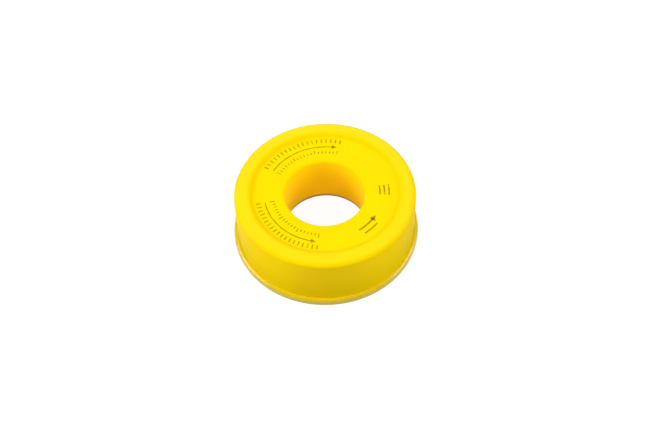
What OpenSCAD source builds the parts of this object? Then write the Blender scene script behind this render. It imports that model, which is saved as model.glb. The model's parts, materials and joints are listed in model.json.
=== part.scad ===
// Thread seal tape roll: a reel, a cored winding of tape and a push-on cover.
// Millimetres, +Z up, origin on the axis at the foot of the reel.
// The tape and the bore set the size, and every piece follows from them outwards.

/* [Tape] */
// Width of the tape
tape_w = 12; // [8:0.5:25]
// Thickness of one turn of tape
tape_t = 0.2; // [0.075:0.005:0.25]
// Length of tape on a full roll
tape_length = 5000; // [1000:100:12000]
// Gap between each edge of the tape and the face beside it
tape_side_gap = 0.6; // [0.4:0.05:1]
// Gap between the full roll and the skirt around it
roll_gap = 0.6; // [0.4:0.05:2]

/* [Core] */
// Wall of the tube that the tape is wound on
core_wall = 0.9; // [0.6:0.1:2]
// How far the tube reaches past each edge of the tape
core_reach = 0.35; // [0.1:0.05:0.35]
// Radial running clearance between the tube and the hub
core_fit = 0.08; // [0.02:0.01:0.1]

/* [Bore] */
// Diameter of the hole through the roll, inside the collar
bore_d = 21; // [12:0.5:40]
// Rounding of the upper lip of the bore
bore_lip_r = 0.9; // [0.3:0.1:1.6]
// Wall of the collar
collar_wall = 0.7; // [0.5:0.05:1.5]
// Height of the lower end of the collar above the foot of the reel
collar_lift = 2.2; // [0.8:0.1:6]
// Radial clearance between the collar and the hub it pushes into
collar_fit = 0.05; // [0.02:0.01:0.1]

/* [Reel] */
// Wall of the hub
hub_wall = 1; // [0.7:0.1:2]
// Thickness of the flange
flange_t = 1.5; // [1.5:0.1:3]
// How far the flange stands out past the skirt of the cover
flange_lip = 1.1; // [0.4:0.1:3]
// Height of the bead around the edge of the flange, above the flange
bead_rise = 0.6; // [0.2:0.05:1.2]
// Radial clearance between the bead and the skirt beside it
bead_gap = 0.06; // [0.04:0.01:0.1]
// Rounding of the upper outer edge of the bead
flange_top_r = 0.95; // [0.2:0.05:0.95]
// Rounding of the lower outer edge of the flange
flange_foot_r = 0.55; // [0.2:0.05:0.55]
// Width of the foot ring under the edge of the flange
foot_w = 3.2; // [1.5:0.1:5]
// Width of the foot ring around the hole
inner_foot_w = 2.4; // [1.5:0.1:4]
// Depth of the recess between the two foot rings
foot_recess = 0.4; // [0.2:0.05:0.6]

/* [Cover] */
// Wall of the skirt
skirt_wall = 1.2; // [0.8:0.1:2.5]
// Gap between the lower edge of the skirt and the flange
skirt_gap = 0.3; // [0.2:0.05:0.8]
// Thickness of the recessed top panel
panel_t = 1.3; // [1.2:0.1:3]
// Width of the raised rim around the panel, at its top
rim_w = 3.9; // [2:0.1:5]
// Height of the rim above the panel
rim_rise = 0.8; // [0.2:0.05:1]
// Width of the slope that leads from the panel up to the rim
slope_w = 1.3; // [0.2:0.1:3]
// Rounding of the top outer edge of the rim
rim_edge_r = 1.3; // [0.3:0.1:1.5]

/* [Hidden] */
// Facets asked of each circle
$fn = 128;
// How far a cut runs past the face it opens
overrun = 0.5;
// Rounding of the lower edge of the hole in the reel
hole_edge_r = 0.3;
// Rounding of the two lower edges of the skirt
skirt_edge_r = 0.2;
// Rounding of the four end edges of the core
core_edge_r = 0.15;

// Radii, from the bore outwards
bore_r = bore_d / 2;
collar_r = bore_r + collar_wall;
hub_bore_r = collar_r + collar_fit;
hub_r = hub_bore_r + hub_wall;
core_bore_r = hub_r + core_fit;
core_r = core_bore_r + core_wall;
// The turns of tape fill a ring as large as the edge of the whole length
roll_r = sqrt(core_r * core_r + tape_length * tape_t / PI);
skirt_bore_r = roll_r + roll_gap;
cover_r = skirt_bore_r + skirt_wall;
rim_inner_r = cover_r - rim_w;
bead_r = cover_r + bead_gap;
flange_r = cover_r + flange_lip;

// Heights, from the foot upwards
bead_top = flange_t + bead_rise;
tape_z = flange_t + tape_side_gap;
tape_top = tape_z + tape_w;
core_z = tape_z - core_reach;
core_top = tape_top + core_reach;
skirt_z = flange_t + skirt_gap;
panel_z = tape_top + tape_side_gap;
panel_top = panel_z + panel_t;
cover_top = panel_top + rim_rise;

// Half section of a plain ring, between two radii and two heights
module ring_section(inner_r, outer_r, low_z, high_z) {
    translate([inner_r, low_z])
        square([outer_r - inner_r, high_z - low_z]);
}

// What rounds off a corner at the given radius and height.
// side_r is 1 where the corner faces outwards and -1 where it faces the axis,
// side_z is 1 where it faces up and -1 where it faces down.
module corner_cut(corner_r, corner_z, edge_r, side_r, side_z) {
    translate([corner_r - side_r * edge_r, corner_z - side_z * edge_r])
        mirror([side_r > 0 ? 0 : 1, 0])
            mirror([0, side_z > 0 ? 0 : 1])
                difference() {
                    square(edge_r + overrun);
                    circle(edge_r);
                }
}

// Half section of the reel: the hub and an edge bead stand on the flange, and the foot is relieved
module reel_section() {
    difference() {
        union() {
            ring_section(hub_bore_r, flange_r, 0, flange_t);
            ring_section(bead_r, flange_r, 0, bead_top);
            ring_section(hub_bore_r, hub_r, 0, panel_z);
        }
        ring_section(hub_bore_r + inner_foot_w, flange_r - foot_w, -overrun, foot_recess);
        corner_cut(flange_r, bead_top, flange_top_r, 1, 1);
        corner_cut(flange_r, 0, flange_foot_r, 1, -1);
        corner_cut(hub_bore_r, 0, hole_edge_r, -1, -1);
    }
}

// Half section of the core: a tube with eased ends
module core_section() {
    difference() {
        ring_section(core_bore_r, core_r, core_z, core_top);
        for (side_r = [-1, 1], side_z = [-1, 1])
            corner_cut(
                side_r > 0 ? core_r : core_bore_r,
                side_z > 0 ? core_top : core_z,
                core_edge_r, side_r, side_z
            );
    }
}

// What cuts the inner side of the rim down to a slope
module slope_cut() {
    polygon([
        [rim_inner_r - slope_w, panel_top],
        [rim_inner_r, cover_top],
        [rim_inner_r, cover_top + overrun],
        [rim_inner_r - slope_w, cover_top + overrun]
    ]);
}

// Half section of the cover: panel, raised rim, skirt and collar
module cover_section() {
    difference() {
        union() {
            ring_section(bore_r, cover_r, panel_z, panel_top);
            ring_section(rim_inner_r - slope_w, cover_r, panel_z, cover_top);
            ring_section(skirt_bore_r, cover_r, skirt_z, panel_top);
            ring_section(bore_r, collar_r, collar_lift, panel_top);
        }
        corner_cut(cover_r, cover_top, rim_edge_r, 1, 1);
        slope_cut();
        corner_cut(bore_r, panel_top, bore_lip_r, -1, 1);
        corner_cut(cover_r, skirt_z, skirt_edge_r, 1, -1);
        corner_cut(skirt_bore_r, skirt_z, skirt_edge_r, -1, -1);
    }
}

// Flange and hub, moulded in one
module reel() {
    color("gold")
        rotate_extrude()
            reel_section();
}

// Tube that turns on the hub
module tape_core() {
    color("whitesmoke")
        rotate_extrude()
            core_section();
}

// The whole length of tape, wound on the core
module tape_winding() {
    color("white")
        rotate_extrude()
            ring_section(core_r, roll_r, tape_z, tape_top);
}

// Push-on cover, whose collar lines the bore
module cover() {
    color("yellow")
        rotate_extrude()
            cover_section();
}

reel();
tape_core();
tape_winding();
cover();
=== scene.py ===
"""Looks of a thread seal tape roll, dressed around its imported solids.

A yellow moulded reel carries a white core with a long white film wound on it,
and a yellow moulded cover pushes down over both. Lengths are in metres, +Z is
up, and the origin is on the axis of the roll, at the foot of the reel.
"""

import json
import logging
import math
from dataclasses import dataclass, field
from enum import Enum
from typing import Any, Iterator, Sequence

import bpy
import numpy as np
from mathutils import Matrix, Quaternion, Vector


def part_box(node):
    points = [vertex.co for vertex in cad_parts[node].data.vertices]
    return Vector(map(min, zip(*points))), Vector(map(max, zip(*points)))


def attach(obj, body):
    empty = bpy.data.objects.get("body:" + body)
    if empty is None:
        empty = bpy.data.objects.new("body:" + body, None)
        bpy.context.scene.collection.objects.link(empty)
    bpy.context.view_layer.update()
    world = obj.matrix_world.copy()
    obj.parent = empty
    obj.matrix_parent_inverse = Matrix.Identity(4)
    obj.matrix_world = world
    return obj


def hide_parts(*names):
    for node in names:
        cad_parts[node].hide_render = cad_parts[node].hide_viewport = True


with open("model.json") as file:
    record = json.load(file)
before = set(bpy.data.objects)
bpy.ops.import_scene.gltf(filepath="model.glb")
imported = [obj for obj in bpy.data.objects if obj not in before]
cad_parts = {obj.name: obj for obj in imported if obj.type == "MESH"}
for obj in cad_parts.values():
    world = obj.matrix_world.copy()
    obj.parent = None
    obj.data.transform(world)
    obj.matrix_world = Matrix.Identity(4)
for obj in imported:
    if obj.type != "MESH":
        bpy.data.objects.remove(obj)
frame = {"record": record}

log = logging.getLogger("tape_roll")

MM = 0.001
Triple = tuple[float, float, float]
Colour = Triple

# Sockets of the Mix node that carry colour, by number, because several share a name
MIX_SHARE, MIX_LOW, MIX_HIGH, MIX_RESULT = 0, 6, 7, 2
# Points along the arc of a printed mark
ARC_POINTS = 48


class Body(str, Enum):
    """The rigid bodies of the roll, by their packed names."""

    REEL = "reel"
    TAPE_ROLL = "tape_roll"
    COVER = "cover"


class Slot(str, Enum):
    """The material slots of the record."""

    COVER = "cover_plastic"
    REEL = "reel_plastic"
    CORE = "core_plastic"
    TAPE = "seal_tape"
    INK = "print_ink"


class Sock:
    """An output socket that takes part in Python expressions on values."""

    def __init__(self, graph: "Graph", socket: bpy.types.NodeSocket) -> None:
        """Keeps the socket and the graph that new nodes go into."""
        self.graph = graph
        self.socket = socket

    def math(self, operation: str, *others: Any) -> "Sock":
        """Adds a Math node that starts from this value.

        Args:
            operation: The Math node's operation.
            others: The other operands, as values or sockets.

        Returns:
            The node's value.
        """
        operands = dict(enumerate((self, *others)))
        return self.graph.node("ShaderNodeMath", {"operation": operation}, operands)

    def __add__(self, other: Any) -> "Sock":
        """This value plus another."""
        return self.math("ADD", other)

    def __sub__(self, other: Any) -> "Sock":
        """This value minus another."""
        return self.math("SUBTRACT", other)

    def __rsub__(self, other: Any) -> "Sock":
        """Another value minus this one."""
        return self.graph.node("ShaderNodeMath", {"operation": "SUBTRACT"}, {0: other, 1: self})

    def __mul__(self, other: Any) -> "Sock":
        """This value times another."""
        return self.math("MULTIPLY", other)

    def __truediv__(self, other: Any) -> "Sock":
        """This value over another."""
        return self.math("DIVIDE", other)

    def __pow__(self, other: Any) -> "Sock":
        """This value to a power."""
        return self.math("POWER", other)

    __radd__ = __add__
    __rmul__ = __mul__

    def step(self, low: float, high: float) -> "Sock":
        """A smooth step between two bounds, either way round.

        Args:
            low: Where the step is 0.
            high: Where the step is 1.

        Returns:
            The step.
        """
        return self.graph.node(
            "ShaderNodeMapRange",
            {"interpolation_type": "SMOOTHSTEP"},
            {"Value": self, "From Min": low, "From Max": high},
        )


@dataclass
class Graph:
    """A node tree that is being written, in a material, a world or a modifier."""

    tree: bpy.types.NodeTree

    def node(
        self,
        kind: str,
        settings: dict[str, Any] | None = None,
        inputs: dict[Any, Any] | None = None,
        out: int | str = 0,
    ) -> Sock:
        """Adds one node of any type.

        Args:
            kind: The node's type.
            settings: What the node itself holds, such as an operation.
            inputs: Values or sockets, by the name or number of the input.
            out: The name or number of the output that is wanted.

        Returns:
            The wanted output.
        """
        made = self.tree.nodes.new(kind)
        for name, value in (settings or {}).items():
            setattr(made, name, value)
        for key, value in (inputs or {}).items():
            self.feed(made.inputs[key], value)
        return Sock(self, made.outputs[out])

    def feed(self, target: bpy.types.NodeSocket, value: Any) -> None:
        """Links a socket to an input, or sets the input's own value.

        Args:
            target: The input.
            value: A value, or a socket to link.
        """
        if isinstance(value, Sock):
            self.tree.links.new(value.socket, target)
        else:
            target.default_value = value

    def mix(self, share: Any, low: Any, high: Any) -> Sock:
        """A colour between two colours.

        Args:
            share: How far from low to high, 0 to 1.
            low: The colour at 0.
            high: The colour at 1.

        Returns:
            The mixed colour.
        """
        return self.node(
            "ShaderNodeMix",
            {"data_type": "RGBA"},
            {MIX_SHARE: share, MIX_LOW: opaque(low), MIX_HIGH: opaque(high)},
            out=MIX_RESULT,
        )

    def scaled(self, vector: Sock, scale: Sequence[float]) -> Sock:
        """A vector with each of its parts scaled by its own number."""
        return self.node(
            "ShaderNodeVectorMath", {"operation": "MULTIPLY"}, {0: vector, 1: scale}
        )

    def vector(self, x: Any, y: Any, z: Any) -> Sock:
        """A vector of three values."""
        return self.node("ShaderNodeCombineXYZ", inputs={"X": x, "Y": y, "Z": z})

    def noise(self, vector: Sock, scale: float, detail: float = 2.0) -> Sock:
        """A noise value of about 0 to 1 over a vector.

        Args:
            vector: Where the noise is read.
            scale: Features per metre.
            detail: Octaves added to the first.

        Returns:
            The noise.
        """
        return self.node(
            "ShaderNodeTexNoise",
            {"noise_dimensions": "3D"},
            {"Vector": vector, "Scale": scale, "Detail": detail},
        )


def opaque(colour: Any) -> Any:
    """A colour with full alpha, or the socket that was given."""
    return colour if isinstance(colour, Sock) else (*colour, 1.0)


def grey(level: float) -> Colour:
    """A colour without hue."""
    return (level, level, level)


@dataclass
class Surface:
    """A material that is being written: its graph and its main shader."""

    name: str

    def __post_init__(self) -> None:
        """Makes the material with one Principled shader in it."""
        self.material = bpy.data.materials.new(self.name)
        self.material.use_nodes = True
        self.graph = Graph(self.material.node_tree)
        self.shader = self.material.node_tree.nodes["Principled BSDF"]

    def place(self) -> Sock:
        """The point on the piece, in the frame of the roll."""
        return self.graph.node("ShaderNodeTexCoord", out="Object")

    def turned(self) -> tuple[Sock, Sock]:
        """Reads the point on the piece as a turned shape is drawn.

        Returns:
            Its distance from the axis of the roll, and its height.
        """
        first = self.graph.node("ShaderNodeSeparateXYZ", inputs={0: self.place()})
        x, y, height = (Sock(self.graph, socket) for socket in first.socket.node.outputs)
        return (x * x + y * y) ** 0.5, height

    def set(self, **inputs: Any) -> None:
        """Sets or links inputs of the shader.

        Args:
            inputs: Values or sockets, by the input's name in lower case, with underscores.
        """
        for name, value in inputs.items():
            target = next(
                socket
                for socket in self.shader.inputs
                if socket.name.lower().replace(" ", "_") == name
            )
            if target.type == "RGBA":
                value = opaque(value)
            self.graph.feed(target, value)

    def bump(self, height: Sock, depth: float, under: Sock | None = None) -> Sock:
        """A normal that is tilted by a height.

        Args:
            height: The height, 0 to 1.
            depth: What a height of 1 measures.
            under: A normal to start from.

        Returns:
            The tilted normal.
        """
        inputs = {"Height": height, "Distance": depth, "Strength": 1.0}
        if under is not None:
            inputs["Normal"] = under
        return self.graph.node("ShaderNodeBump", inputs=inputs)


@dataclass(frozen=True)
class MouldedPlastic:
    """Pigmented satin plastic, as it leaves a turned mould.

    What hands and shelves rub is polished and a little worn. Painted shade darkens
    the colour towards the foot of the outside, on the slope around the panel and at
    the foot of the hole, and a warmer painted shade deep in the hole stands in for
    light that bounces between its walls.
    """

    name: str
    wear_radius: float
    polish_radius: float
    polish_height: float
    shine_foot: float
    shine_top: float
    hole_radius: float
    polish: float
    polish_roughness: float
    # Painted shade that darkens the outside towards its foot: share, top, foot and colour
    low_painted_shade: float
    low_painted_shade_top: float
    low_painted_shade_foot: float = 0.2 * MM
    low_painted_shade_colour: Colour = (0.37, 0.295, 0.0)
    colour: Colour = (0.98, 0.708, 0.0)
    deep: Colour = (0.975, 0.692, 0.0)
    pale: Colour = (0.98, 0.745, 0.02)
    wear_reach: float = 0.9 * MM
    wear_share: float = 0.5
    wear_rough: float = 0.12
    polish_fade: float = 0.3 * MM
    gloss: float = 0.02
    # Painted shade in a darker ring on the slope around the panel: share, radius, reach and colour
    slope_painted_shade: float = 0.0
    slope_painted_shade_radius: float = 0.0
    slope_painted_shade_reach: float = 1.1 * MM
    slope_painted_shade_colour: Colour = (0.80, 0.575, 0.0)
    # Painted shade deep in the bore, warmer for light that bounces between its walls: colour, then
    # the fade, lower and upper heights of its mask
    bore_painted_shade_colour: Colour = (0.98, 0.645, 0.0)
    bore_fade: float = 0.5 * MM
    bore_deep: float = 11.5 * MM
    bore_shallow: float = 15.2 * MM
    # Painted shade at the foot of the hole: colour, top, foot and reach
    hole_foot_painted_shade: Colour = (0.30, 0.17, 0.01)
    hole_foot_painted_shade_top: float = 1.5 * MM
    hole_foot_painted_shade_foot: float = 0.2 * MM
    hole_foot_painted_shade_reach: float = 0.3 * MM
    roughness: float = 0.42
    specular: float = 0.015
    swirl_scale: float = 70.0
    swirl_bounds: tuple[float, float] = (0.35, 0.65)
    swirl_rough: float = 0.03
    grain_scale: float = 6500.0
    grain_stretch: Triple = (1.0, 1.0, 0.12)
    grain_rough: float = 0.06
    grain_depth: float = 0.004 * MM
    turning_scale: float = 1500.0
    turning_depth: float = 0.005 * MM
    scuff_scale: float = 420.0
    scuff_stretch: Triple = (1.0, 0.35, 1.0)
    scuff_bounds: tuple[float, float] = (0.58, 0.72)

    def make(self) -> bpy.types.Material:
        """Writes the material.

        Returns:
            The plastic, with pigment swirls, mould grain, turning marks and scuffs.
        """
        surface = Surface(self.name)
        graph = surface.graph
        place = surface.place()
        radius, height = surface.turned()

        swirl = graph.noise(place, self.swirl_scale, detail=3.0).step(*self.swirl_bounds)
        grain = graph.noise(graph.scaled(place, self.grain_stretch), self.grain_scale)
        turning = graph.noise(graph.vector(radius, 0.0, 0.0), self.turning_scale, detail=3.0)
        scuffs = graph.noise(
            graph.scaled(place, self.scuff_stretch), self.scuff_scale, detail=5.0
        ).step(*self.scuff_bounds)

        fade = self.polish_fade
        outer = radius.step(self.polish_radius - fade, self.polish_radius + fade)
        upper = height.step(self.polish_height - fade, self.polish_height + fade)
        shine = outer * height.step(self.shine_foot, self.shine_top)
        edge = (radius - self.wear_radius).math("ABSOLUTE").step(self.wear_reach, 0.0)
        worn = scuffs * edge * upper
        # Painted shade: a darker ring on the slope around the panel
        slope = (radius - self.slope_painted_shade_radius).math("ABSOLUTE").step(self.slope_painted_shade_reach, 0.0)
        # Painted shade: darker towards the foot of the outside
        low = height.step(self.low_painted_shade_top, self.low_painted_shade_foot) * outer
        # Painted shade: dark at the foot of the hole
        in_hole = radius.step(self.hole_radius + self.hole_foot_painted_shade_reach, self.hole_radius)
        hole_foot_painted_shade_mask = height.step(self.hole_foot_painted_shade_top, self.hole_foot_painted_shade_foot) * in_hole
        # Painted shade: a warmer colour deep in the bore, for light that bounces there
        bore_painted_shade_mask = radius.step(self.hole_radius + self.bore_fade, self.hole_radius)
        bore_painted_shade_mask = bore_painted_shade_mask * height.step(self.bore_shallow, self.bore_deep)

        tone = graph.mix(swirl, self.deep, self.colour)
        tone = graph.mix(bore_painted_shade_mask, tone, self.bore_painted_shade_colour)
        tone = graph.mix(worn * self.wear_share, tone, self.pale)
        tone = graph.mix(slope * upper * self.slope_painted_shade, tone, self.slope_painted_shade_colour)
        tone = graph.mix(low * self.low_painted_shade, tone, self.low_painted_shade_colour)
        rough = self.roughness + grain * self.grain_rough
        rough = rough + worn * self.wear_rough + swirl * self.swirl_rough
        surface.set(
            base_color=graph.mix(hole_foot_painted_shade_mask, tone, self.hole_foot_painted_shade),
            roughness=rough,
            specular_ior_level=self.specular,
            coat_weight=upper * self.gloss + shine * (self.polish - self.gloss),
            coat_roughness=self.polish_roughness,
        )
        rings = surface.bump(turning, self.turning_depth)
        surface.set(normal=surface.bump(grain, self.grain_depth, rings))
        return surface.material


@dataclass(frozen=True)
class SealFilm:
    """Soft white unsintered film, with fine lines along its length."""

    name: str = "seal_film"
    colour: Colour = (0.86, 0.86, 0.85)
    shade: Colour = (0.76, 0.76, 0.75)
    roughness: float = 0.48
    specular: float = 0.4
    line_scale: float = 5200.0
    line_stretch: Triple = (0.04, 0.04, 1.0)
    line_share: float = 0.6
    line_rough: float = 0.14
    line_depth: float = 0.01 * MM
    cloud_scale: float = 260.0
    cloud_share: float = 0.4
    milk: float = 0.2
    milk_spread: Triple = (1.0, 1.0, 1.0)
    milk_depth: float = 0.4 * MM

    def make(self) -> bpy.types.Material:
        """Writes the material.

        Returns:
            The film, with lines that run along the tape and a cloudy body.
        """
        surface = Surface(self.name)
        graph = surface.graph
        place = surface.place()
        stretched = graph.scaled(place, self.line_stretch)
        lines = graph.noise(stretched, self.line_scale, detail=3.0)
        cloud = graph.noise(place, self.cloud_scale, detail=3.0)
        share = lines * self.line_share + cloud * self.cloud_share
        surface.set(
            base_color=graph.mix(share, self.shade, self.colour),
            roughness=self.roughness + lines * self.line_rough,
            specular_ior_level=self.specular,
            subsurface_weight=self.milk,
            subsurface_radius=self.milk_spread,
            subsurface_scale=self.milk_depth,
            normal=surface.bump(lines, self.line_depth),
        )
        return surface.material


@dataclass(frozen=True)
class NaturalPlastic:
    """Unpigmented milky plastic of the core."""

    name: str = "natural_plastic"
    colour: Colour = (0.78, 0.77, 0.72)
    cloudy: Colour = (0.70, 0.69, 0.64)
    roughness: float = 0.45
    specular: float = 0.4
    cloud_scale: float = 180.0
    cloud_bounds: tuple[float, float] = (0.3, 0.7)
    grain_scale: float = 5200.0
    grain_stretch: Triple = (1.0, 1.0, 0.1)
    grain_rough: float = 0.1
    grain_depth: float = 0.006 * MM
    milk: float = 0.25
    milk_spread: Triple = (1.0, 0.9, 0.8)
    milk_depth: float = 0.8 * MM

    def make(self) -> bpy.types.Material:
        """Writes the material.

        Returns:
            The milky plastic, with a cloudy body and a fine grain.
        """
        surface = Surface(self.name)
        graph = surface.graph
        place = surface.place()
        cloud = graph.noise(place, self.cloud_scale, detail=3.0).step(*self.cloud_bounds)
        grain = graph.noise(graph.scaled(place, self.grain_stretch), self.grain_scale)
        surface.set(
            base_color=graph.mix(cloud, self.cloudy, self.colour),
            roughness=self.roughness + grain * self.grain_rough,
            specular_ior_level=self.specular,
            subsurface_weight=self.milk,
            subsurface_radius=self.milk_spread,
            subsurface_scale=self.milk_depth,
            normal=surface.bump(grain, self.grain_depth),
        )
        return surface.material


@dataclass(frozen=True)
class PadInk:
    """Thin ochre ink, laid by a soft pad, so it is a little uneven."""

    name: str = "pad_ink"
    colour: Colour = (0.40, 0.285, 0.0)
    thin: Colour = (0.62, 0.45, 0.0)
    roughness: float = 0.5
    specular: float = 0.02
    patch_scale: float = 900.0
    patch_bounds: tuple[float, float] = (0.42, 0.68)
    patch_rough: float = 0.1

    def make(self) -> bpy.types.Material:
        """Writes the material.

        Returns:
            The ink, thinner in patches.
        """
        surface = Surface(self.name)
        graph = surface.graph
        patches = graph.noise(surface.place(), self.patch_scale, detail=4.0)
        patches = patches.step(*self.patch_bounds)
        surface.set(
            base_color=graph.mix(patches, self.colour, self.thin),
            roughness=self.roughness + patches * self.patch_rough,
            specular_ior_level=self.specular,
        )
        return surface.material


@dataclass(frozen=True)
class PaleFloor:
    """A plain floor that is white to the eye and still takes a soft shadow.

    It throws back more light inside the hole of the roll than around it. It is
    clear from below and to shadow rays, so that the foot of the roll is lit and seen.
    """

    hole_radius: float
    name: str = "pale_floor"
    albedo: float = 0.3
    hole_albedo: float = 0.72
    hole_fade: float = 0.5 * MM
    lit_albedo: float = 0.95
    shadow_share: float = 0.1
    white: float = 1.04

    def make(self) -> bpy.types.Material:
        """Writes the material.

        Returns:
            The floor, with one shader for the eye, one for bounced light and a clear one.
        """
        surface = Surface(self.name)
        graph = surface.graph
        seen = seen_directly(graph)
        radius, _ = surface.turned()
        in_hole = radius.step(self.hole_radius + self.hole_fade, self.hole_radius - self.hole_fade)
        bounce = graph.mix(in_hole, grey(self.albedo), grey(self.hole_albedo))
        plain = graph.node("ShaderNodeBsdfDiffuse", inputs={"Color": bounce})
        white = graph.node("ShaderNodeEmission", inputs={"Strength": self.white})
        lit = graph.node(
            "ShaderNodeBsdfDiffuse", inputs={"Color": opaque(grey(self.lit_albedo))}
        )
        shown = graph.node(
            "ShaderNodeMixShader", inputs={0: self.shadow_share, 1: white, 2: lit}
        )
        front = graph.node("ShaderNodeMixShader", inputs={0: seen, 1: plain, 2: shown})
        clear = graph.node("ShaderNodeBsdfTransparent")
        below = graph.node("ShaderNodeNewGeometry", out="Backfacing")
        shadow = graph.node("ShaderNodeLightPath", out="Is Shadow Ray")
        open_to = below.math("MAXIMUM", shadow)
        whole = graph.node("ShaderNodeMixShader", inputs={0: open_to, 1: front, 2: clear})
        output = surface.material.node_tree.nodes["Material Output"]
        graph.feed(output.inputs["Surface"], whole)
        surface.material.node_tree.nodes.remove(surface.shader)
        return surface.material


def seen_directly(graph: Graph) -> Sock:
    """Tells rays that show the floor to the eye from those that carry its light.

    Args:
        graph: The graph that the nodes go into.

    Returns:
        1 for a ray from the camera, off a gloss or through glass, and else 0.
    """
    rays = [
        graph.node("ShaderNodeLightPath", out=name)
        for name in ("Is Camera Ray", "Is Glossy Ray", "Is Transmission Ray")
    ]
    return rays[0].math("MAXIMUM", rays[1]).math("MAXIMUM", rays[2])


@dataclass(frozen=True)
class Corner:
    """A corner of a half section, with its rounding."""

    radius: float
    height: float
    edge: float = 0.1 * MM


@dataclass
class Lathe:
    """A closed half section that is turned about the axis into a solid ring.

    The corners go round clockwise, with the radius to the right and the height
    up, so that the faces point outwards.
    """

    corners: Sequence[Corner]
    turns: int = 288
    arc_steps: int = 9

    def outline(self) -> tuple[np.ndarray, np.ndarray]:
        """Rounds every corner.

        Returns:
            The points of the outline and the outward normal at each.
        """
        points, normals = [], []
        count = len(self.corners)
        for index, corner in enumerate(self.corners):
            before = self.corners[index - 1]
            after = self.corners[(index + 1) % count]
            for point, normal in self.arc(before, corner, after):
                points.append(point)
                normals.append(normal)
        return np.array(points), np.array(normals)

    def arc(
        self, before: Corner, corner: Corner, after: Corner
    ) -> Iterator[tuple[np.ndarray, np.ndarray]]:
        """Walks the rounding of one corner.

        Args:
            before: The corner that comes before it.
            corner: The corner.
            after: The corner that comes after it.

        Yields:
            Points along the arc, each with its outward normal.
        """
        tip, back, ahead = (
            np.array((c.radius, c.height)) for c in (corner, before, after)
        )
        to_back = (back - tip) / np.linalg.norm(back - tip)
        to_ahead = (ahead - tip) / np.linalg.norm(ahead - tip)
        half = 0.5 * math.acos(float(np.clip(to_back @ to_ahead, -1.0, 1.0)))
        middle = to_back + to_ahead
        centre = tip + middle / np.linalg.norm(middle) * corner.edge / math.sin(half)
        first = tip + to_back * corner.edge / math.tan(half) - centre
        start = math.atan2(first[1], first[0])
        bend = to_ahead[0] * to_back[1] - to_ahead[1] * to_back[0]
        side = 1.0 if bend < 0.0 else -1.0
        sweep = -side * (math.pi - 2.0 * half)
        for step in range(self.arc_steps + 1):
            angle = start + sweep * step / self.arc_steps
            ray = np.array((math.cos(angle), math.sin(angle)))
            yield centre + ray * corner.edge, ray * side

    def mesh(self, name: str) -> bpy.types.Mesh:
        """Turns the outline about the axis.

        Args:
            name: The mesh's name.

        Returns:
            A closed, smooth mesh whose normals are those of the true shape.
        """
        points, normals = self.outline()
        angles = np.arange(self.turns) * (math.tau / self.turns)
        rays = np.stack((np.cos(angles), np.sin(angles)), axis=1)
        places = revolve(points, rays)
        outward = revolve(normals, rays)
        count = len(points)
        ring, step = np.meshgrid(np.arange(self.turns), np.arange(count), indexing="ij")
        next_ring, next_step = (ring + 1) % self.turns, (step + 1) % count
        faces = np.stack(
            (
                ring * count + step,
                ring * count + next_step,
                next_ring * count + next_step,
                next_ring * count + step,
            ),
            axis=-1,
        ).reshape(-1, 4)
        mesh = bpy.data.meshes.new(name)
        mesh.from_pydata(places.tolist(), [], faces.tolist())
        mesh.shade_smooth()
        mesh.normals_split_custom_set_from_vertices(outward.tolist())
        return mesh


def revolve(section: np.ndarray, rays: np.ndarray) -> np.ndarray:
    """Copies radius and height pairs to every direction around the axis.

    Args:
        section: Pairs of radius and height.
        rays: Unit directions in the plane.

    Returns:
        One point or vector in space for each pair and direction.
    """
    flat = rays[:, None, :] * section[None, :, :1]
    height = np.broadcast_to(section[None, :, 1:], (*flat.shape[:2], 1))
    return np.concatenate((flat, height), axis=2).reshape(-1, 3)


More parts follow.
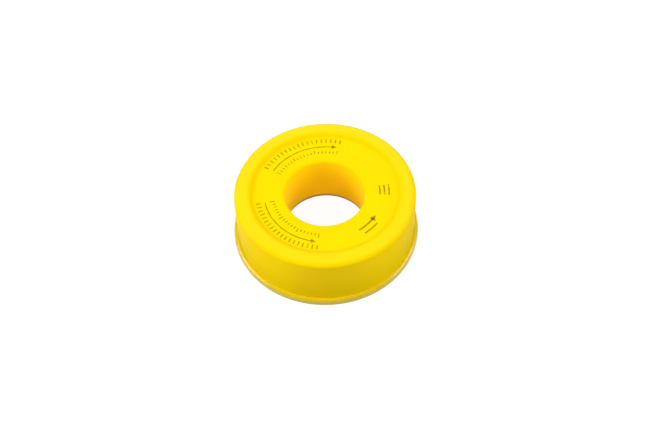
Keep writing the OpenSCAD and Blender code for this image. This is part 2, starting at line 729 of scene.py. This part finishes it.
@dataclass
class Growth:
    """A Geometry Nodes tree that is being written, and what it makes."""

    name: str
    inputs: dict[str, float | int] = field(default_factory=dict)

    def __post_init__(self) -> None:
        """Opens a tree with one named input for each size."""
        self.tree = bpy.data.node_groups.new(self.name, "GeometryNodeTree")
        self.graph = Graph(self.tree)
        self.parts: list[Sock] = []
        for name, value in self.inputs.items():
            kind = "NodeSocketInt" if isinstance(value, int) else "NodeSocketFloat"
            self.tree.interface.new_socket(name, in_out="INPUT", socket_type=kind)
        self.tree.interface.new_socket(
            "Geometry", in_out="OUTPUT", socket_type="NodeSocketGeometry"
        )
        self.entry = self.tree.nodes.new("NodeGroupInput")

    def size(self, name: str) -> Sock:
        """A named input of the tree."""
        return Sock(self.graph, self.entry.outputs[name])

    def add(self, geometry: Sock) -> None:
        """Adds geometry to what the tree gives out."""
        self.parts.append(geometry)

    def move(self, geometry: Sock, offset: Sock, turn: Sock | None = None) -> Sock:
        """Turns geometry about the origin, where that is asked, and moves it.

        Args:
            geometry: What is moved.
            offset: How far.
            turn: How it is turned first.

        Returns:
            The moved geometry.
        """
        inputs = {"Geometry": geometry, "Translation": offset}
        if turn is not None:
            inputs["Rotation"] = turn
        return self.graph.node("GeometryNodeTransform", inputs=inputs)

    def raise_by(self, height: Sock) -> None:
        """Lifts every part that was added so far."""
        lift = self.graph.vector(0.0, 0.0, height)
        self.parts = [self.move(part, lift) for part in self.parts]

    def facing(self, vector: Sock) -> Sock:
        """A rotation that turns +X along a vector."""
        return self.graph.node(
            "FunctionNodeAlignRotationToVector", {"axis": "X"}, {"Vector": vector}
        )

    def disc(self, sides: int, radius: Sock, depth: Sock) -> Sock:
        """A flat cylinder about +Z, with its middle at the origin."""
        inputs = {"Vertices": sides, "Radius": radius, "Depth": depth}
        return self.graph.node("GeometryNodeMeshCylinder", inputs=inputs)

    def sweep(self, curve: Sock, width: Sock, height: Sock) -> None:
        """Adds a strip of upright rectangular section along a curve.

        Args:
            curve: The curve.
            width: The size of the strip across the curve.
            height: The size of the strip along +Z.
        """
        upright = self.graph.node(
            "GeometryNodeSetCurveNormal", {"mode": "Z_UP"}, {"Curve": curve}
        )
        section = self.graph.node(
            "GeometryNodeCurvePrimitiveQuadrilateral",
            inputs={"Width": width, "Height": height},
        )
        inputs = {"Curve": upright, "Profile Curve": section, "Fill Caps": True}
        self.add(self.graph.node("GeometryNodeCurveToMesh", inputs=inputs))

    def grow(self, material: bpy.types.Material) -> bpy.types.Object:
        """Runs the tree once and keeps its result as a plain mesh.

        Args:
            material: What the result is made of.

        Returns:
            An object at the origin with a plain mesh and no modifiers.
        """
        joined = self.graph.node("GeometryNodeJoinGeometry")
        for part in self.parts:
            self.tree.links.new(part.socket, joined.socket.node.inputs[0])
        real = self.graph.node("GeometryNodeRealizeInstances", inputs={0: joined})
        dressed = self.graph.node(
            "GeometryNodeSetMaterial", inputs={"Geometry": real, "Material": material}
        )
        end = self.tree.nodes.new("NodeGroupOutput")
        self.tree.links.new(dressed.socket, end.inputs[0])

        grown = new_object(self.name, bpy.data.meshes.new(self.name + "_seed"))
        modifier = grown.modifiers.new(self.name, "NODES")
        modifier.node_group = self.tree
        for item in self.tree.interface.items_tree:
            if item.in_out == "INPUT":
                modifier[item.identifier] = self.inputs[item.name]
        bpy.context.view_layer.update()
        depsgraph = bpy.context.evaluated_depsgraph_get()
        mesh = bpy.data.meshes.new_from_object(grown.evaluated_get(depsgraph))
        grown.modifiers.clear()
        grown.data = mesh
        mesh.name = self.name
        return grown


def new_object(name: str, mesh: bpy.types.Mesh) -> bpy.types.Object:
    """Links a new object at the origin.

    Args:
        name: The object's name.
        mesh: What it shows.

    Returns:
        The object.
    """
    made = bpy.data.objects.new(name, mesh)
    bpy.context.scene.collection.objects.link(made)
    return made


def settle(piece: bpy.types.Object, body: Body, slot: Slot, *stands_for: str) -> None:
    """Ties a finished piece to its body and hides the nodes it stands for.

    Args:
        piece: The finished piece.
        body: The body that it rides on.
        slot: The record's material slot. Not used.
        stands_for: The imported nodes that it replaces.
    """
    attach(piece, body.value)
    if stands_for:
        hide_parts(*stands_for)
    log.info("%s: %d faces on %s", piece.name, len(piece.data.polygons), body.value)


@dataclass(frozen=True)
class ArcMark:
    """A printed stroke along an arc of the panel.

    It starts at an angle and sweeps through another, both in degrees.
    """

    name: str
    radius: float
    start: float
    sweep: float
    stroke: float

    def measures(self) -> dict[str, float | int]:
        """The sizes that the tree takes in for the mark."""
        return {
            "Radius": self.radius,
            "Start": math.radians(self.start),
            "Sweep": math.radians(self.sweep),
            "Stroke": self.stroke,
        }

    def inputs(self) -> dict[str, float | int]:
        """The same sizes, with the mark's name before that of each."""
        return {f"{self.name} {what}": size for what, size in self.measures().items()}

    def size(self, growth: Growth, what: str) -> Sock:
        """One of the mark's sizes, as the tree takes it in."""
        return growth.size(f"{self.name} {what}")

    def arc(self, growth: Growth) -> Sock:
        """Draws the arc that the mark follows.

        Args:
            growth: The tree.

        Returns:
            The curve.
        """
        return growth.graph.node(
            "GeometryNodeCurveArc",
            {"mode": "RADIUS"},
            {
                "Resolution": ARC_POINTS,
                "Radius": self.size(growth, "Radius"),
                "Start Angle": self.size(growth, "Start"),
                "Sweep Angle": self.size(growth, "Sweep"),
            },
        )

    def draw(self, growth: Growth, ink: Sock) -> None:
        """Adds the mark to a tree.

        Args:
            growth: The tree.
            ink: The thickness of the ink.
        """
        growth.sweep(self.arc(growth), self.size(growth, "Stroke"), ink)


@dataclass(frozen=True)
class Arrow(ArcMark):
    """A stroke with a plain head at its end."""

    head: float
    head_sides: int = 3

    def measures(self) -> dict[str, float | int]:
        """The sizes that the tree takes in for the arrow."""
        return {**super().measures(), "Head": self.head}

    def draw(self, growth: Growth, ink: Sock) -> None:
        """Adds the stroke and its head to a tree.

        Args:
            growth: The tree.
            ink: The thickness of the ink.
        """
        super().draw(growth, ink)
        end = growth.graph.node(
            "GeometryNodeSampleCurve",
            {"mode": "FACTOR"},
            {"Curves": self.arc(growth), "Factor": 1.0},
            out="Position",
        )
        along = Sock(growth.graph, end.socket.node.outputs["Tangent"])
        point = growth.disc(self.head_sides, self.size(growth, "Head"), ink)
        growth.add(growth.move(point, end, growth.facing(along)))


@dataclass(frozen=True)
class TickRow(ArcMark):
    """A graduated row: short radial strokes along the arc, every few of them longer."""

    count: int
    length: float
    long_every: int = 6
    long_ratio: float = 1.6

    def measures(self) -> dict[str, float | int]:
        """The sizes that the tree takes in for the row."""
        return {**super().measures(), "Count": self.count, "Length": self.length}

    def draw(self, growth: Growth, ink: Sock) -> None:
        """Adds the row to a tree.

        Args:
            growth: The tree.
            ink: The thickness of the ink.
        """
        graph = growth.graph
        points = graph.node(
            "GeometryNodeCurveToPoints",
            {"mode": "COUNT"},
            {"Curve": self.arc(growth), "Count": self.size(growth, "Count")},
        )
        length = self.size(growth, "Length")
        bar = graph.node(
            "GeometryNodeMeshCube",
            inputs={"Size": graph.vector(length, self.size(growth, "Stroke"), ink)},
        )
        number = graph.node("GeometryNodeInputIndex")
        is_long = number.math("MODULO", self.long_every).math("LESS_THAN", 0.5)
        reach = is_long * (self.long_ratio - 1.0) + 1.0
        growth.add(
            graph.node(
                "GeometryNodeInstanceOnPoints",
                inputs={
                    "Points": points,
                    "Instance": growth.move(bar, graph.vector(length * 0.5, 0.0, 0.0)),
                    "Rotation": growth.facing(graph.node("GeometryNodeInputPosition")),
                    "Scale": graph.vector(reach, 1.0, 1.0),
                },
            )
        )


@dataclass(frozen=True)
class PinMarks:
    """Low round marks that the pins of the mould leave, in a ring."""

    name: str
    ring: float
    height: float
    count: int = 6
    radius: float = 1.3 * MM
    proud: float = 0.05 * MM
    sides: int = 40

    def build(self, plastic: bpy.types.Material, body: Body, slot: Slot) -> None:
        """Makes the marks and ties them to their body.

        Args:
            plastic: What the moulding is made of.
            body: The body that they ride on.
            slot: The record's material slot.
        """
        growth = Growth(
            self.name,
            {
                "Count": self.count,
                "Ring Radius": self.ring,
                "Height": self.height,
                "Pin Radius": self.radius,
                "Proud": self.proud,
            },
        )
        graph = growth.graph
        ring = graph.node(
            "GeometryNodeMeshCircle",
            inputs={"Vertices": growth.size("Count"), "Radius": growth.size("Ring Radius")},
        )
        pin = growth.disc(self.sides, growth.size("Pin Radius"), growth.size("Proud") * 2.0)
        growth.add(
            graph.node(
                "GeometryNodeInstanceOnPoints", inputs={"Points": ring, "Instance": pin}
            )
        )
        growth.raise_by(growth.size("Height"))
        settle(growth.grow(plastic), body, slot)


@dataclass
class Frame:
    """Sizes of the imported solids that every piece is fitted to."""

    cover_r: float
    cover_top: float
    skirt_foot: float
    flange_r: float
    hub_top: float
    core_r: float
    core_foot: float
    core_top: float
    roll_r: float
    tape_foot: float
    tape_top: float
    bore_r: float
    collar_foot: float
    lip_foot: float

    @classmethod
    def read(cls) -> "Frame":
        """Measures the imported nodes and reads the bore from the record.

        Returns:
            The sizes.
        """
        cover_low, cover_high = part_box("cover")
        _, reel_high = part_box("reel")
        core_low, core_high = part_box("tape_core")
        tape_low, tape_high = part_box("tape_winding")
        bore = next(m for m in frame["record"]["mounts"] if m["kind"] == "bore")
        half = 0.5 * bore["dims"]["length_mm"] * MM
        middle = bore["pos_m"][2]
        return cls(
            cover_r=cover_high.x,
            cover_top=cover_high.z,
            skirt_foot=cover_low.z,
            flange_r=reel_high.x,
            hub_top=reel_high.z,
            core_r=core_high.x,
            core_foot=core_low.z,
            core_top=core_high.z,
            roll_r=tape_high.x,
            tape_foot=tape_low.z,
            tape_top=tape_high.z,
            bore_r=bore["dims"]["r_mm"] * MM,
            collar_foot=middle - half,
            lip_foot=middle + half,
        )


@dataclass
class Reel:
    """The yellow moulding of flange and hub that carries the roll."""

    sizes: Frame
    collar_wall: float = 0.7 * MM
    collar_fit: float = 0.05 * MM
    hub_wall: float = 1.0 * MM
    hub_inner_edge: float = 0.2 * MM
    hub_outer_edge: float = 0.15 * MM
    hub_root_edge: float = 0.2 * MM
    flange: float = 1.5 * MM
    bead_rise: float = 0.6 * MM
    bead_gap: float = 0.06 * MM
    bead_edge: float = 0.05 * MM
    flange_top_edge: float = 0.95 * MM
    flange_foot_edge: float = 0.55 * MM
    foot_width: float = 3.2 * MM
    inner_foot_width: float = 2.4 * MM
    foot_recess: float = 0.4 * MM
    foot_edge: float = 0.15 * MM
    hole_edge: float = 0.3 * MM
    pin_ring: float = 17.8 * MM
    polish_width: float = 0.9 * MM
    polish_height: float = 0.7 * MM
    shine_foot: float = 0.4 * MM
    shine_top: float = 1.0 * MM
    # Top of the painted shade that darkens the outside towards its foot
    low_painted_shade_top: float = 4.4 * MM

    @property
    def hole(self) -> float:
        """The radius of the hole that the collar of the cover pushes into."""
        return self.sizes.bore_r + self.collar_wall + self.collar_fit

    def corners(self) -> list[Corner]:
        """Works out the half section.

        Returns:
            The corners, clockwise from the lower edge of the hole.
        """
        hub = self.hole + self.hub_wall
        rim = self.sizes.flange_r
        bead = self.sizes.cover_r + self.bead_gap
        bead_top = self.flange + self.bead_rise
        top = self.sizes.hub_top
        outer_foot = rim - self.foot_width
        inner_foot = self.hole + self.inner_foot_width
        return [
            Corner(self.hole, 0.0, self.hole_edge),
            Corner(self.hole, top, self.hub_inner_edge),
            Corner(hub, top, self.hub_outer_edge),
            Corner(hub, self.flange, self.hub_root_edge),
            Corner(bead, self.flange, self.bead_edge),
            Corner(bead, bead_top, self.bead_edge),
            Corner(rim, bead_top, self.flange_top_edge),
            Corner(rim, 0.0, self.flange_foot_edge),
            Corner(outer_foot, 0.0, self.foot_edge),
            Corner(outer_foot, self.foot_recess, self.foot_edge),
            Corner(inner_foot, self.foot_recess, self.foot_edge),
            Corner(inner_foot, 0.0, self.foot_edge),
        ]

    def finish(self) -> MouldedPlastic:
        """Describes the plastic of the reel.

        Returns:
            A finish that is polished along the bead and soiled low on the outside.
        """
        return MouldedPlastic(
            "reel_plastic",
            wear_radius=self.sizes.flange_r,
            polish_radius=self.sizes.flange_r - self.polish_width,
            polish_height=self.polish_height,
            shine_foot=self.shine_foot,
            shine_top=self.shine_top,
            hole_radius=self.hole,
            polish=0.95,
            polish_roughness=0.2,
            # Share of the painted shade low on the outside
            low_painted_shade=0.7,
            low_painted_shade_top=self.low_painted_shade_top,
            specular=0.15,
        )

    def build(self) -> None:
        """Makes the moulding and its pin marks, and ties them to the reel."""
        plastic = self.finish().make()
        mesh = Lathe(self.corners()).mesh("reel_moulding")
        mesh.materials.append(plastic)
        settle(new_object("reel_moulding", mesh), Body.REEL, Slot.REEL, "reel")
        marks = PinMarks("reel_pin_marks", self.pin_ring, self.foot_recess)
        marks.build(plastic, Body.REEL, Slot.REEL)


@dataclass
class TapeRoll:
    """The core and the film that is wound on it."""

    sizes: Frame
    core_wall: float = 0.9 * MM
    core_edge: float = 0.15 * MM
    pitch: float = 0.2 * MM
    film: float = 0.165 * MM
    points_per_turn: int = 96
    wander: float = 0.09 * MM
    wander_scale: float = 900.0
    loose_angle: float = 0.6
    loose_lift: float = 0.28 * MM
    sharp_angle: float = math.radians(40.0)

    def build_core(self, plastic: bpy.types.Material) -> None:
        """Makes the tube that turns on the hub.

        Args:
            plastic: What the tube is made of.
        """
        outer, inner = self.sizes.core_r, self.sizes.core_r - self.core_wall
        foot, top = self.sizes.core_foot, self.sizes.core_top
        section = [
            Corner(inner, foot, self.core_edge),
            Corner(inner, top, self.core_edge),
            Corner(outer, top, self.core_edge),
            Corner(outer, foot, self.core_edge),
        ]
        mesh = Lathe(section).mesh("core_tube")
        mesh.materials.append(plastic)
        settle(new_object("core_tube", mesh), Body.TAPE_ROLL, Slot.CORE, "tape_core")

    def growth_sizes(self) -> dict[str, float | int]:
        """Works out the sizes of the winding.

        Returns:
            The sizes, by the names of the tree's inputs.
        """
        sizes = self.sizes
        turns = (sizes.roll_r - sizes.core_r) / self.pitch
        return {
            "Turns": turns,
            "Points per Turn": self.points_per_turn,
            "Inner Radius": sizes.core_r + 0.5 * self.pitch,
            "Outer Radius": sizes.roll_r - 0.5 * self.pitch,
            "Film Thickness": self.film,
            "Film Width": sizes.tape_top - sizes.tape_foot,
            "Middle Height": 0.5 * (sizes.tape_top + sizes.tape_foot),
            "Edge Wander": self.wander,
            "Loose Share": self.loose_angle / (math.tau * turns),
            "Loose Lift": self.loose_lift,
        }

    def shift(self, growth: Growth) -> Sock:
        """Moves the spiral off its plain path.

        Args:
            growth: The tree that winds the film.

        Returns:
            How far each point moves: up to the film's height, a little to either
            side of it, and outwards along the loose end.
        """
        graph = growth.graph
        place = graph.node("GeometryNodeInputPosition")
        along = graph.node("GeometryNodeSplineParameter", out="Factor")
        free = (along - (1.0 - growth.size("Loose Share"))) / growth.size("Loose Share")
        lift = free.math("MAXIMUM", 0.0) ** 2.0 * growth.size("Loose Lift")
        outward = graph.node(
            "ShaderNodeVectorMath", {"operation": "NORMALIZE"}, {0: place}
        )
        wander = graph.noise(place, self.wander_scale, detail=1.0)
        height = growth.size("Middle Height") + (wander - 0.5) * growth.size("Edge Wander")
        return graph.node(
            "ShaderNodeVectorMath",
            {"operation": "MULTIPLY_ADD"},
            {0: outward, 1: lift, 2: graph.vector(0.0, 0.0, height)},
        )

    def build_winding(self, film: bpy.types.Material) -> None:
        """Winds the film on the core as one spiral, with its end a little loose.

        Args:
            film: What the film is made of.
        """
        growth = Growth("wound_film", self.growth_sizes())
        graph = growth.graph
        spiral = graph.node(
            "GeometryNodeCurveSpiral",
            inputs={
                "Resolution": growth.size("Points per Turn"),
                "Rotations": growth.size("Turns"),
                "Start Radius": growth.size("Inner Radius"),
                "End Radius": growth.size("Outer Radius"),
                "Height": 0.0,
            },
        )
        laid = graph.node(
            "GeometryNodeSetPosition",
            inputs={"Geometry": spiral, "Offset": self.shift(growth)},
        )
        growth.sweep(laid, growth.size("Film Thickness"), growth.size("Film Width"))
        wound = growth.grow(film)
        wound.data.shade_smooth()
        wound.data.set_sharp_from_angle(angle=self.sharp_angle)
        settle(wound, Body.TAPE_ROLL, Slot.TAPE, "tape_winding")


@dataclass
class Cover:
    """The yellow moulding that closes the roll, and the marks printed on it."""

    sizes: Frame
    skirt_wall: float = 1.2 * MM
    skirt_outer_edge: float = 0.15 * MM
    skirt_inner_edge: float = 0.2 * MM
    skirt_root_edge: float = 0.5 * MM
    skirt_drop: float = 0.24 * MM
    collar_wall: float = 0.7 * MM
    collar_edge: float = 0.12 * MM
    collar_root_edge: float = 0.3 * MM
    bore_lip: float = 0.9 * MM
    panel: float = 1.3 * MM
    crown_width: float = 3.9 * MM
    crown_edge: float = 2.6 * MM
    slope_width: float = 1.3 * MM
    slope_foot_edge: float = 2.4 * MM
    rim_edge: float = 1.3 * MM
    pin_ring: float = 17.0 * MM
    polish_width: float = 3.3 * MM
    polish_drop: float = 1.3 * MM
    shine_foot_drop: float = 0.22 * MM
    shine_top_drop: float = 0.06 * MM
    # Heights of the painted shade that darkens the skirt towards its foot
    low_painted_shade_foot: float = 1.5 * MM
    low_painted_shade_top: float = 14.0 * MM
    ink: float = 0.02 * MM
    # Each has a name, a radius, the angle where it starts, the angle it sweeps and a stroke
    marks: tuple[ArcMark, ...] = (
        TickRow("Upper Scale", 17.1 * MM, 150.0, -75.0, 0.36 * MM, count=19, length=1.3 * MM),
        Arrow("Upper Arrow", 15.7 * MM, 150.0, -70.0, 0.3 * MM, head=0.9 * MM),
        TickRow("Upper Inner Scale", 13.4 * MM, 150.0, -75.0, 0.28 * MM, count=19, length=0.7 * MM),
        TickRow("Lower Scale", 17.1 * MM, 190.0, 72.0, 0.36 * MM, count=19, length=1.3 * MM),
        Arrow("Lower Arrow", 16.0 * MM, 190.0, 67.0, 0.3 * MM, head=0.9 * MM),
        TickRow("Lower Inner Scale", 13.4 * MM, 190.0, 72.0, 0.28 * MM, count=19, length=0.8 * MM),
        ArcMark("Right Bar One", 14.5 * MM, -5.0, 12.0, 0.4 * MM),
        ArcMark("Right Bar Two", 15.7 * MM, -5.0, 12.0, 0.4 * MM),
        ArcMark("Right Bar Three", 16.9 * MM, -5.0, 12.0, 0.4 * MM),
        Arrow("Front Arrow", 15.2 * MM, 304.0, 20.0, 0.5 * MM, head=1.1 * MM),
        ArcMark("Front Bar", 16.9 * MM, 306.0, 16.0, 0.4 * MM),
    )

    @property
    def panel_top(self) -> float:
        """The height of the panel's upper face."""
        return self.sizes.lip_foot + self.bore_lip

    @property
    def panel_foot(self) -> float:
        """The height of the panel's lower face."""
        return self.panel_top - self.panel

    def corners(self) -> list[Corner]:
        """Works out the half section.

        Returns:
            The corners, clockwise from the lower end of the collar.
        """
        sizes = self.sizes
        skirt = sizes.cover_r - self.skirt_wall
        collar = sizes.bore_r + self.collar_wall
        crown = sizes.cover_r - self.crown_width
        skirt_foot = sizes.skirt_foot - self.skirt_drop
        return [
            Corner(sizes.bore_r, sizes.collar_foot, self.collar_edge),
            Corner(sizes.bore_r, self.panel_top, self.bore_lip),
            Corner(crown - self.slope_width, self.panel_top, self.slope_foot_edge),
            Corner(crown, sizes.cover_top, self.crown_edge),
            Corner(sizes.cover_r, sizes.cover_top, self.rim_edge),
            Corner(sizes.cover_r, skirt_foot, self.skirt_outer_edge),
            Corner(skirt, skirt_foot, self.skirt_inner_edge),
            Corner(skirt, self.panel_foot, self.skirt_root_edge),
            Corner(collar, self.panel_foot, self.collar_root_edge),
            Corner(collar, sizes.collar_foot, self.collar_edge),
        ]

    def finish(self) -> MouldedPlastic:
        """Describes the plastic of the cover.

        Returns:
            A finish that shines on the crown, with painted shade on the slope and a
            little painted shade that darkens the skirt towards its foot.
        """
        rim, top = self.sizes.cover_r, self.sizes.cover_top
        return MouldedPlastic(
            "cover_plastic",
            wear_radius=rim,
            polish_radius=rim - self.polish_width,
            polish_height=top - self.polish_drop,
            shine_foot=top - self.shine_foot_drop,
            shine_top=top - self.shine_top_drop,
            hole_radius=self.sizes.bore_r,
            polish=0.25,
            polish_roughness=0.45,
            low_painted_shade=0.16,
            # Share of the painted shade low on the skirt
            low_painted_shade_top=self.low_painted_shade_top,
            low_painted_shade_foot=self.low_painted_shade_foot,
            # Painted shade in a darker ring on the slope around the panel
            slope_painted_shade=0.55,
            slope_painted_shade_radius=rim - self.crown_width - 0.5 * self.slope_width,
        )

    def build(self) -> None:
        """Makes the moulding and its pin marks, and ties them to the cover."""
        plastic = self.finish().make()
        mesh = Lathe(self.corners()).mesh("cover_moulding")
        mesh.materials.append(plastic)
        settle(new_object("cover_moulding", mesh), Body.COVER, Slot.COVER, "cover")
        marks = PinMarks("cover_pin_marks", self.pin_ring, self.panel_foot)
        marks.build(plastic, Body.COVER, Slot.COVER)

    def print_marks(self, ink: bpy.types.Material) -> None:
        """Prints plain scales, arrows and bars on the panel.

        Args:
            ink: What they are printed with.
        """
        sizes: dict[str, float | int] = {"Ink": self.ink, "Panel": self.panel_top}
        for mark in self.marks:
            sizes.update(mark.inputs())
        growth = Growth("printed_marks", sizes)
        # The lower half of each stroke lies inside the panel
        for mark in self.marks:
            mark.draw(growth, growth.size("Ink") * 2.0)
        growth.raise_by(growth.size("Panel"))
        settle(growth.grow(ink), Body.COVER, Slot.INK)


class Glow(Enum):
    """The colours of light that a lamp can have."""

    WHITE = (1.0, 1.0, 1.0)
    WARM = (1.0, 0.92, 0.8)


@dataclass(frozen=True)
class SoftBox:
    """A square lamp with an even, soft light.

    Its size is the length of a side, and its power is in watts. A lamp that isn't
    mirrored leaves no highlight of its own on a gloss.
    """

    name: str
    place: Triple
    size: float
    power: float
    mirrored: bool = True
    glow: Glow = Glow.WHITE

    def hang(self, aim: Vector) -> None:
        """Hangs the lamp and turns it to a point.

        Args:
            aim: The point.
        """
        data = bpy.data.lights.new(self.name, "AREA")
        data.shape = "SQUARE"
        data.size = self.size
        data.energy = self.power
        data.color = self.glow.value
        lamp = bpy.data.objects.new(self.name, data)
        lamp.location = self.place
        lamp.visible_camera = False
        lamp.visible_glossy = self.mirrored
        lamp.rotation_mode = "QUATERNION"
        lamp.rotation_quaternion = (aim - lamp.location).to_track_quat("-Z", "Y")
        bpy.context.scene.collection.objects.link(lamp)


@dataclass
class Studio:
    """Floor, lamps and camera around the roll.

    The width of the frame and the offset of the roll's middle in it are in pixels
    of the photograph, the sensor is in millimetres, and angles are in radians.
    """

    sizes: Frame
    frame_width: float = 650.0
    sensor: float = 36.0
    near_clip: float = 10.0 * MM
    elevation: float = math.radians(52.97)
    roll: float = math.radians(1.92)
    distance: float = 310.0 * MM
    pixels_per_metre: float = 3720.0
    middle_offset: tuple[float, float] = (0.5, 6.67)
    floor_half: float = 3.0
    ambient: float = 0.02
    lamps: tuple[SoftBox, ...] = (
        SoftBox("left_box", (-0.6, 0.0, 0.35), 0.45, 3.9),
        SoftBox("right_box", (0.6, 0.0, 0.35), 0.45, 2.95),
        SoftBox("back_box", (0.0, 0.6, 0.36), 0.45, 1.8),
        SoftBox("front_box", (0.0, -0.66, 0.46), 0.95, 3.76, mirrored=False, glow=Glow.WARM),
        SoftBox("top_box", (0.0, -0.3, 0.62), 0.4, 0.75, mirrored=False),
        SoftBox("under_box", (0.0, 0.0, -0.7), 0.5, 2.4),
    )

    @property
    def middle(self) -> Vector:
        """The middle of the roll, which the lamps and the camera are turned to."""
        return Vector((0.0, 0.0, 0.5 * self.sizes.cover_top))

    def build(self, floor_finish: bpy.types.Material) -> None:
        """Sets up the whole studio.

        Args:
            floor_finish: What the floor is made of.
        """
        self.lay_floor(floor_finish)
        self.light()
        self.set_camera()
        bpy.context.scene.view_settings.view_transform = "Standard"

    def lay_floor(self, finish: bpy.types.Material) -> None:
        """Lays a plain floor under the foot of the reel.

        Args:
            finish: What it is made of.
        """
        half = self.floor_half
        mesh = bpy.data.meshes.new("floor")
        sides = [(-half, -half, 0.0), (half, -half, 0.0), (half, half, 0.0), (-half, half, 0.0)]
        mesh.from_pydata(sides, [], [(0, 1, 2, 3)])
        mesh.materials.append(finish)
        new_object("floor", mesh)

    def light(self) -> None:
        """Hangs the lamps and sets the light of the room."""
        for lamp in self.lamps:
            lamp.hang(self.middle)
        world = bpy.data.worlds.new("room")
        world.use_nodes = True
        bpy.context.scene.world = world
        graph = Graph(world.node_tree)
        background = world.node_tree.nodes["Background"]
        seen = graph.node("ShaderNodeLightPath", out="Is Camera Ray")
        graph.feed(background.inputs["Strength"], seen * (1.0 - self.ambient) + self.ambient)
        background.inputs["Color"].default_value = opaque(grey(1.0))

    def set_camera(self) -> None:
        """Puts the camera where the photograph was taken from."""
        focal = self.pixels_per_metre * self.distance
        data = bpy.data.cameras.new("camera")
        data.sensor_width = self.sensor
        data.lens = focal / self.frame_width * self.sensor
        data.clip_start = self.near_clip
        camera = bpy.data.objects.new("camera", data)
        bpy.context.scene.collection.objects.link(camera)
        back = Vector((0.0, -math.cos(self.elevation), math.sin(self.elevation)))
        across, up = self.middle_offset
        facing = (-back).to_track_quat("-Z", "Y")
        facing = facing @ Quaternion((0.0, 0.0, 1.0), -self.roll)
        facing = facing @ Quaternion((1.0, 0.0, 0.0), -math.atan2(up, focal))
        facing = facing @ Quaternion((0.0, 1.0, 0.0), math.atan2(across, focal))
        camera.rotation_mode = "QUATERNION"
        camera.rotation_quaternion = facing
        camera.location = self.middle + back * self.distance
        bpy.context.scene.camera = camera


def main() -> None:
    """Builds the roll piece by piece, then the studio around it."""
    logging.basicConfig(level=logging.INFO, format="%(name)s: %(message)s")
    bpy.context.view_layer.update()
    sizes = Frame.read()

    Reel(sizes).build()
    tape = TapeRoll(sizes)
    tape.build_core(NaturalPlastic().make())
    tape.build_winding(SealFilm().make())
    cover = Cover(sizes)
    cover.build()
    cover.print_marks(PadInk().make())
    Studio(sizes).build(PaleFloor(sizes.bore_r).make())


if __name__ == "__main__":
    main()
